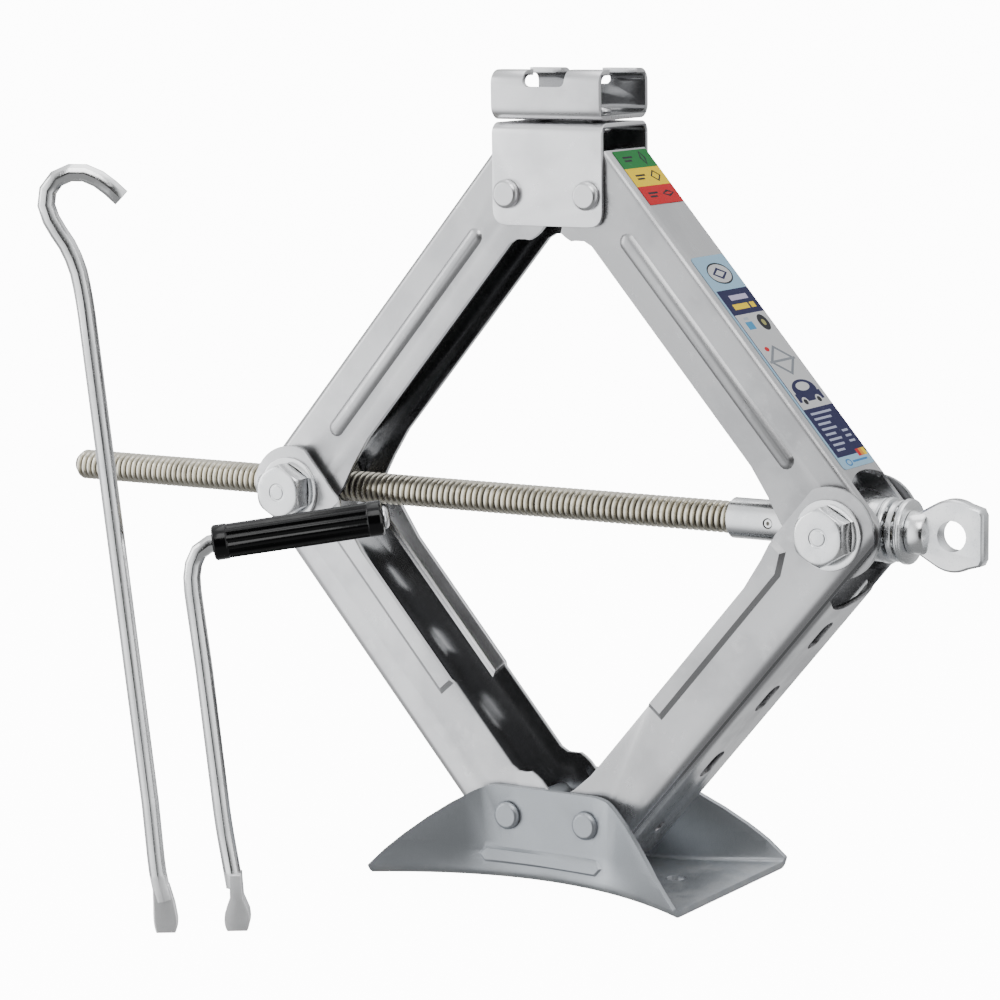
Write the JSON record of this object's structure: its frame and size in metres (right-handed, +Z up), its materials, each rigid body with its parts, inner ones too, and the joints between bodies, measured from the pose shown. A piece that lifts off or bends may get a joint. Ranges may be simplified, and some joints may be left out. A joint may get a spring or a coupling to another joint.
{
  "type": "scissor jack",
  "caption": "Scissor jack: channel arms with toothed ends on a flared foot, a through screw with a driven eye, a slotted saddle, and a loose crank with a hooked rod.",
  "frame": {"origin": "centre of the foot's underside, on the ground", "axes": "+X along the screw towards its driven eye, +Y along the pivot pins towards the rear, +Z up to the saddle"},
  "size_m": [0.4734, 0.249, 0.3554],
  "materials": {
    "silver_paint": "bright silver satin",
    "plated_steel": "bright zinc plate",
    "foot_paint": "mid grey satin",
    "zinc_thread": "oiled yellowish zinc",
    "black_grip": "gloss black",
    "band_film": "printed film",
    "data_film": "printed film"
  },
  "bodies": {
    "foot": {"foot_plate": "foot_paint", "base_pin_left": "foot_paint", "base_pin_right": "foot_paint"},
    "lower_left": {"lower_arm_left": "silver_paint"},
    "lower_right": {"lower_arm_right": "silver_paint"},
    "nut_hinge": {"nut_trunnion": "plated_steel", "hinge_bolt_left_front": "plated_steel", "hinge_bolt_left_rear": "plated_steel", "hinge_washer_left_front": "plated_steel", "hinge_washer_left_rear": "plated_steel"},
    "thrust_hinge": {"thrust_trunnion": "plated_steel", "hinge_bolt_right_front": "plated_steel", "hinge_bolt_right_rear": "plated_steel", "hinge_washer_right_front": "plated_steel", "hinge_washer_right_rear": "plated_steel", "thrust_race_fixed": "plated_steel"},
    "upper_left": {"upper_arm_left": "silver_paint"},
    "upper_right": {"upper_arm_right": "silver_paint", "colour_band_label": "band_film", "data_label": "data_film"},
    "head": {"top_bracket": "silver_paint", "top_pin_left": "silver_paint", "top_pin_right": "silver_paint", "saddle": "silver_paint", "saddle_rivet_left": "silver_paint", "saddle_rivet_right": "silver_paint"},
    "screw": {"lifting_screw": "zinc_thread", "stop_collar": "plated_steel", "roll_pin": "plated_steel", "thrust_race_turning": "plated_steel", "screw_eye": "plated_steel"},
    "ball_cage": {"thrust_ball_cage": "plated_steel"},
    "hook_rod": {"hook_rod": "plated_steel"},
    "crank": {"crank_rod": "plated_steel", "grip_end_cap": "plated_steel"},
    "grip": {"crank_grip": "black_grip"}
  },
  "joints": [
    {"name": "lift", "type": "hinge", "parent": "foot", "child": "lower_left", "pos_m": [-0.02, 0, 0.0285], "axis": [0, 1, 0], "range_deg": [-44.9, 8]},
    {"name": "right_arm_turn", "type": "hinge", "parent": "foot", "child": "lower_right", "pos_m": [0.02, 0, 0.0285], "axis": [0, 1, 0], "range_deg": [-8, 44.9]},
    {"name": "nut_trunnion_turn", "type": "hinge", "parent": "lower_left", "child": "nut_hinge", "pos_m": [-0.1369, 0, 0.16537], "axis": [0, 1, 0], "range_deg": [-8, 44.9]},
    {"name": "thrust_trunnion_turn", "type": "hinge", "parent": "lower_right", "child": "thrust_hinge", "pos_m": [0.1369, 0, 0.16537], "axis": [0, 1, 0], "range_deg": [-44.9, 8]},
    {"name": "upper_left_turn", "type": "hinge", "parent": "nut_hinge", "child": "upper_left", "pos_m": [-0.1369, 0, 0.16537], "axis": [0, 1, 0], "range_deg": [-8, 44.9]},
    {"name": "upper_right_turn", "type": "hinge", "parent": "thrust_hinge", "child": "upper_right", "pos_m": [0.1369, 0, 0.16537], "axis": [0, 1, 0], "range_deg": [-44.9, 8]},
    {"name": "head_turn", "type": "hinge", "parent": "upper_left", "child": "head", "pos_m": [-0.02, 0, 0.30225], "axis": [0, 1, 0], "range_deg": [-44.9, 8]},
    {"name": "screw_spin", "type": "hinge", "parent": "thrust_hinge", "child": "screw", "pos_m": [0.1369, 0, 0.16537], "axis": [1, 0, 0], "continuous": true},
    {"name": "cage_spin", "type": "hinge", "parent": "thrust_hinge", "child": "ball_cage", "pos_m": [0.1369, 0, 0.16537], "axis": [1, 0, 0], "continuous": true},
    {"name": "hook_rod_lift", "type": "slide", "parent": "foot", "child": "hook_rod", "axis": [0, 0, 1], "range_m": [0, 0.2]},
    {"name": "crank_lift", "type": "slide", "parent": "foot", "child": "crank", "axis": [0, 0, 1], "range_m": [0, 0.2]},
    {"name": "grip_spin", "type": "hinge", "parent": "crank", "child": "grip", "pos_m": [-0.08096, -0.15492, 0.16478], "axis": [0.8361, 0.5316, 0.1357], "continuous": true}
  ],
  "couplings": [
    {"joint": "right_arm_turn", "follows": "lift", "ratio": -1},
    {"joint": "nut_trunnion_turn", "follows": "lift", "ratio": -1},
    {"joint": "thrust_trunnion_turn", "follows": "lift", "ratio": 1},
    {"joint": "upper_left_turn", "follows": "lift", "ratio": -1},
    {"joint": "upper_right_turn", "follows": "lift", "ratio": 1},
    {"joint": "head_turn", "follows": "lift", "ratio": 1},
    {"joint": "cage_spin", "follows": "screw_spin", "ratio": 0.5}
  ]
}
